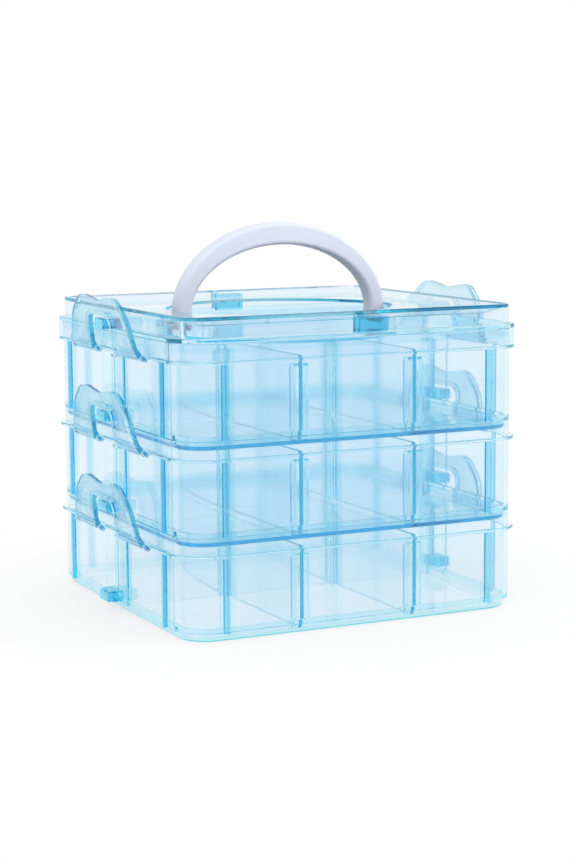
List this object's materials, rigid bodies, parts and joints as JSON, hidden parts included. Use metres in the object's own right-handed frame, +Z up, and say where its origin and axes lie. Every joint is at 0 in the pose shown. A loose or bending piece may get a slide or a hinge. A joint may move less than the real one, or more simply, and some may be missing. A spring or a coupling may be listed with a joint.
{
  "type": "sewing box with trays",
  "caption": "Stack of clear blue trays with loose dividers, side latches that hook each tray to the one above, and a lid with a folding white carry handle.",
  "frame": {"origin": "middle of the underside of the bottom tray", "axes": "+X to the right along the front, +Y to the back, +Z up"},
  "size_m": [0.1674, 0.15, 0.16],
  "materials": {
    "clear_blue_plastic": "clear tinted moulding",
    "white_plastic": "satin moulding"
  },
  "bodies": {
    "bottom_stage": {"bottom_tray": "clear_blue_plastic", "bottom_long_divider": "clear_blue_plastic", "bottom_left_front_divider": "clear_blue_plastic", "bottom_left_back_divider": "clear_blue_plastic", "bottom_right_front_divider": "clear_blue_plastic", "bottom_right_back_divider": "clear_blue_plastic"},
    "bottom_left_latch": {"bottom_left_latch": "clear_blue_plastic"},
    "bottom_right_latch": {"bottom_right_latch": "clear_blue_plastic"},
    "middle_stage": {"middle_tray": "clear_blue_plastic", "middle_long_divider": "clear_blue_plastic", "middle_left_front_divider": "clear_blue_plastic", "middle_left_back_divider": "clear_blue_plastic", "middle_right_front_divider": "clear_blue_plastic", "middle_right_back_divider": "clear_blue_plastic"},
    "middle_left_latch": {"middle_left_latch": "clear_blue_plastic"},
    "middle_right_latch": {"middle_right_latch": "clear_blue_plastic"},
    "top_stage": {"top_tray": "clear_blue_plastic", "top_long_divider": "clear_blue_plastic", "top_left_front_divider": "clear_blue_plastic", "top_left_back_divider": "clear_blue_plastic", "top_right_front_divider": "clear_blue_plastic", "top_right_back_divider": "clear_blue_plastic"},
    "top_left_latch": {"top_left_latch": "clear_blue_plastic"},
    "top_right_latch": {"top_right_latch": "clear_blue_plastic"},
    "lid": {"lid": "clear_blue_plastic"},
    "handle": {"carry_handle": "white_plastic"}
  },
  "joints": [
    {"name": "middle_tray_lift", "type": "slide", "parent": "bottom_stage", "child": "middle_stage", "axis": [0, 0, 1], "range_m": [0, 0.02]},
    {"name": "top_tray_lift", "type": "slide", "parent": "middle_stage", "child": "top_stage", "axis": [0, 0, 1], "range_m": [0, 0.02]},
    {"name": "lid_lift", "type": "slide", "parent": "top_stage", "child": "lid", "axis": [0, 0, 1], "range_m": [0, 0.02]},
    {"name": "handle_fold", "type": "hinge", "parent": "lid", "child": "handle", "pos_m": [0, 0, 0.12], "axis": [-1, 0, 0], "range_deg": [-90, 90]},
    {"name": "bottom_left_latch_swing", "type": "hinge", "parent": "bottom_stage", "child": "bottom_left_latch", "pos_m": [-0.0783, 0, 0.0334], "axis": [0, -1, 0], "range_deg": [0, 120.5]},
    {"name": "bottom_right_latch_swing", "type": "hinge", "parent": "bottom_stage", "child": "bottom_right_latch", "pos_m": [0.0783, 0, 0.0334], "axis": [0, 1, 0], "range_deg": [0, 120.5]},
    {"name": "middle_left_latch_swing", "type": "hinge", "parent": "middle_stage", "child": "middle_left_latch", "pos_m": [-0.0783, 0, 0.0712], "axis": [0, -1, 0], "range_deg": [0, 120.5]},
    {"name": "middle_right_latch_swing", "type": "hinge", "parent": "middle_stage", "child": "middle_right_latch", "pos_m": [0.0783, 0, 0.0712], "axis": [0, 1, 0], "range_deg": [0, 120.5]},
    {"name": "top_left_latch_swing", "type": "hinge", "parent": "top_stage", "child": "top_left_latch", "pos_m": [-0.0783, 0, 0.109], "axis": [0, -1, 0], "range_deg": [0, 120.5]},
    {"name": "top_right_latch_swing", "type": "hinge", "parent": "top_stage", "child": "top_right_latch", "pos_m": [0.0783, 0, 0.109], "axis": [0, 1, 0], "range_deg": [0, 120.5]}
  ],
  "couplings": [
    {"joint": "bottom_left_latch_swing", "follows": "middle_tray_lift", "rad_per_m": 104.72},
    {"joint": "bottom_right_latch_swing", "follows": "middle_tray_lift", "rad_per_m": 104.72},
    {"joint": "middle_left_latch_swing", "follows": "top_tray_lift", "rad_per_m": 104.72},
    {"joint": "middle_right_latch_swing", "follows": "top_tray_lift", "rad_per_m": 104.72},
    {"joint": "top_left_latch_swing", "follows": "lid_lift", "rad_per_m": 104.72},
    {"joint": "top_right_latch_swing", "follows": "lid_lift", "rad_per_m": 104.72}
  ]
}
